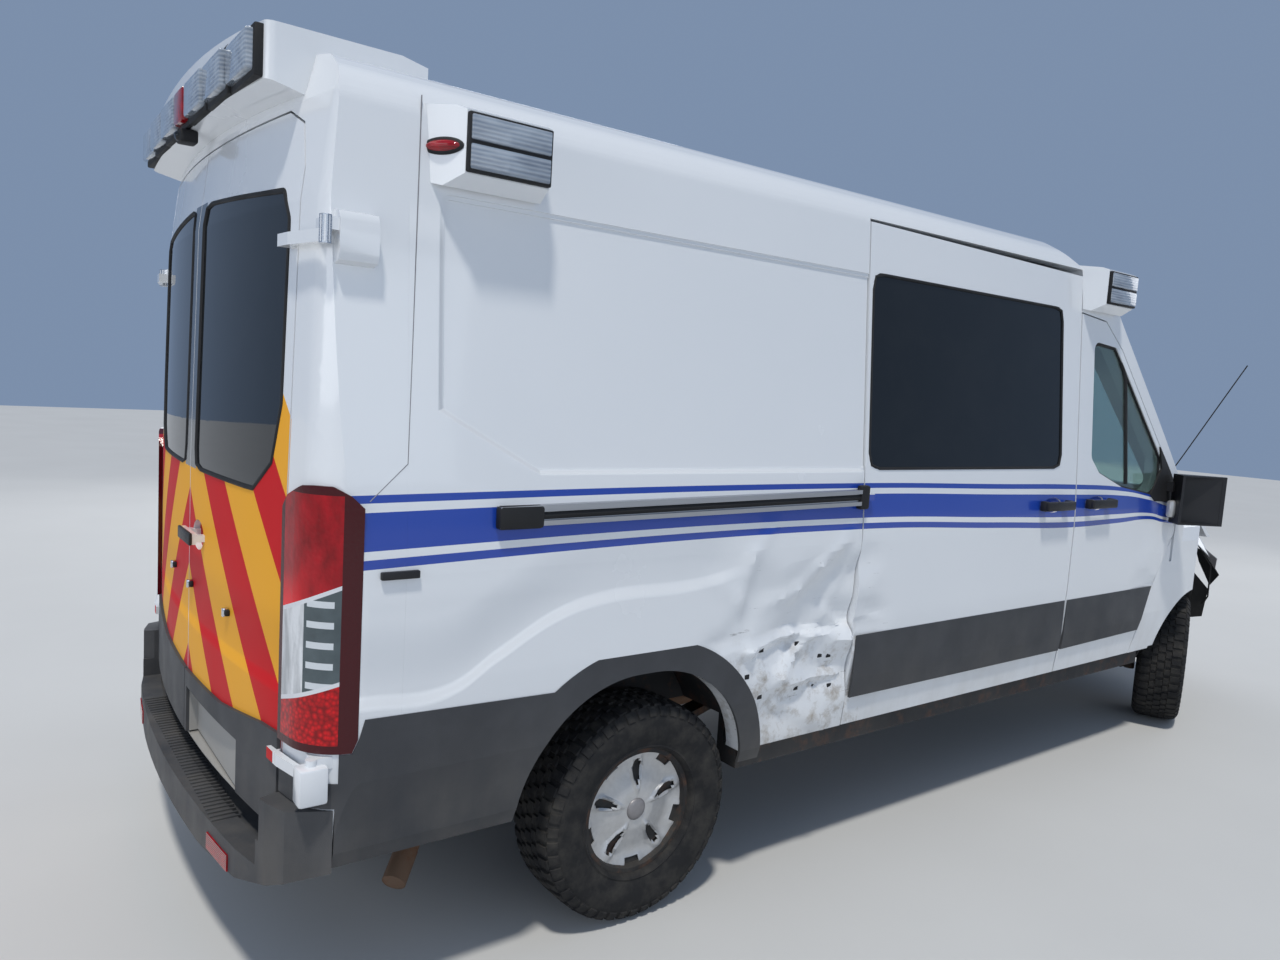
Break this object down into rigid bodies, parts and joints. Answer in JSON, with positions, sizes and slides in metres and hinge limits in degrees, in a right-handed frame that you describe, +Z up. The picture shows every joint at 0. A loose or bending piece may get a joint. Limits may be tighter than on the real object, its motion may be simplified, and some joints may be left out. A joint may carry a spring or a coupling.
{
  "type": "panel-van ambulance",
  "caption": "Medium-roof panel-van ambulance with twin rear doors, side sliding door, light pod and warning lights, worn and dented on one side.",
  "frame": {"origin": "on the ground under the middle of the overall length and width", "axes": "+X forward, +Y to the vehicle's left, +Z up"},
  "size_m": [5.981, 2.4727, 2.5599],
  "materials": {
    "white_paint": "gloss white",
    "clear_glass": "clear",
    "dark_glass": "dark privacy glass",
    "aluminium": "satin",
    "clear_lens": "clear moulded lens",
    "black_plastic": "textured",
    "grey_plastic": "grained, weathered",
    "underbody": "matt undercoat",
    "red_lens": "moulded lens",
    "chassis_steel": "matt black",
    "exhaust_steel": "heat stained",
    "seat_fabric": "woven",
    "tyre": "worn, dusty",
    "silver_cover": "silver paint"
  },
  "bodies": {
    "root": {"roof_panel": "white_paint", "body_side_left": "white_paint", "body_side_right": "white_paint", "cab_frame": "white_paint", "windscreen": "clear_glass", "sliding_door": "white_paint", "side_glass": "dark_glass", "slide_rail": "aluminium", "headlamps": "clear_lens", "grille": "black_plastic", "front_fenders": "white_paint", "wheel_liners": "black_plastic", "front_bumper": "grey_plastic", "floor_pan": "underbody", "chassis_rails": "underbody", "rear_bumper": "grey_plastic", "side_cladding": "grey_plastic", "tail_lamps": "red_lens", "light_housings": "white_paint", "warning_lenses": "clear_lens", "rear_axle": "chassis_steel", "front_subframe": "chassis_steel", "engine_block": "chassis_steel", "exhaust": "exhaust_steel", "fuel_tank": "black_plastic", "seats": "seat_fabric", "dashboard": "black_plastic"},
    "hood": {"hood": "white_paint"},
    "door_front_left": {"door_front_left": "white_paint", "door_glass_left": "clear_glass", "door_cladding_left": "grey_plastic", "mirror_left": "black_plastic"},
    "rear_door_left": {"rear_door_left": "white_paint", "rear_glass_left": "dark_glass", "rear_cladding_left": "grey_plastic"},
    "knuckle_left": {"knuckle_left": "chassis_steel"},
    "wheel_front_left": {"tyre_front_left": "tyre", "rim_front_left": "silver_cover"},
    "wheel_rear_left": {"tyre_rear_left": "tyre", "rim_rear_left": "silver_cover"},
    "door_front_right": {"door_front_right": "white_paint", "door_glass_right": "clear_glass", "door_cladding_right": "grey_plastic", "mirror_right": "black_plastic"},
    "rear_door_right": {"rear_door_right": "white_paint", "rear_glass_right": "dark_glass", "rear_cladding_right": "grey_plastic"},
    "knuckle_right": {"knuckle_right": "chassis_steel"},
    "wheel_front_right": {"tyre_front_right": "tyre", "rim_front_right": "silver_cover"},
    "wheel_rear_right": {"tyre_rear_right": "tyre", "rim_rear_right": "silver_cover"}
  },
  "joints": [
    {"name": "steer_left", "type": "hinge", "parent": "root", "child": "knuckle_left", "pos_m": [1.9675, 0.715, 0.356], "axis": [0, 0, 1], "range_deg": [-59, 11]},
    {"name": "steer_right", "type": "hinge", "parent": "root", "child": "knuckle_right", "pos_m": [1.9675, -0.715, 0.356], "axis": [0, 0, 1], "range_deg": [-59, 11]},
    {"name": "spin_front_left", "type": "hinge", "parent": "knuckle_left", "child": "wheel_front_left", "pos_m": [1.90608, 0.85295, 0.356], "axis": [-0.4067, 0.9135, 0], "continuous": true},
    {"name": "spin_front_right", "type": "hinge", "parent": "knuckle_right", "child": "wheel_front_right", "pos_m": [2.02892, -0.85295, 0.356], "axis": [-0.4067, 0.9135, 0], "continuous": true},
    {"name": "spin_rear_left", "type": "hinge", "parent": "root", "child": "wheel_rear_left", "pos_m": [-1.7825, 0.8715, 0.356], "axis": [0, 1, 0], "continuous": true},
    {"name": "spin_rear_right", "type": "hinge", "parent": "root", "child": "wheel_rear_right", "pos_m": [-1.7825, -0.8715, 0.356], "axis": [0, 1, 0], "continuous": true},
    {"name": "door_front_left_hinge", "type": "hinge", "parent": "root", "child": "door_front_left", "pos_m": [1.59, 1.0195, 1.2], "axis": [0, 0, -1], "range_deg": [0, 70]},
    {"name": "door_front_right_hinge", "type": "hinge", "parent": "root", "child": "door_front_right", "pos_m": [1.59, -1.0195, 1.2], "axis": [0, 0, 1], "range_deg": [0, 70]},
    {"name": "rear_door_left_hinge", "type": "hinge", "parent": "root", "child": "rear_door_left", "pos_m": [-2.835, 1, 1.35], "axis": [0, 0, -1], "range_deg": [0, 180]},
    {"name": "rear_door_right_hinge", "type": "hinge", "parent": "root", "child": "rear_door_right", "pos_m": [-2.835, -1, 1.35], "axis": [0, 0, 1], "range_deg": [0, 180]},
    {"name": "hood_hinge", "type": "hinge", "parent": "root", "child": "hood", "pos_m": [2.1, 0, 1.215], "axis": [0, -1, 0], "range_deg": [0, 55]}
  ],
  "couplings": [
    {"joint": "steer_right", "follows": "steer_left", "ratio": 1}
  ]
}
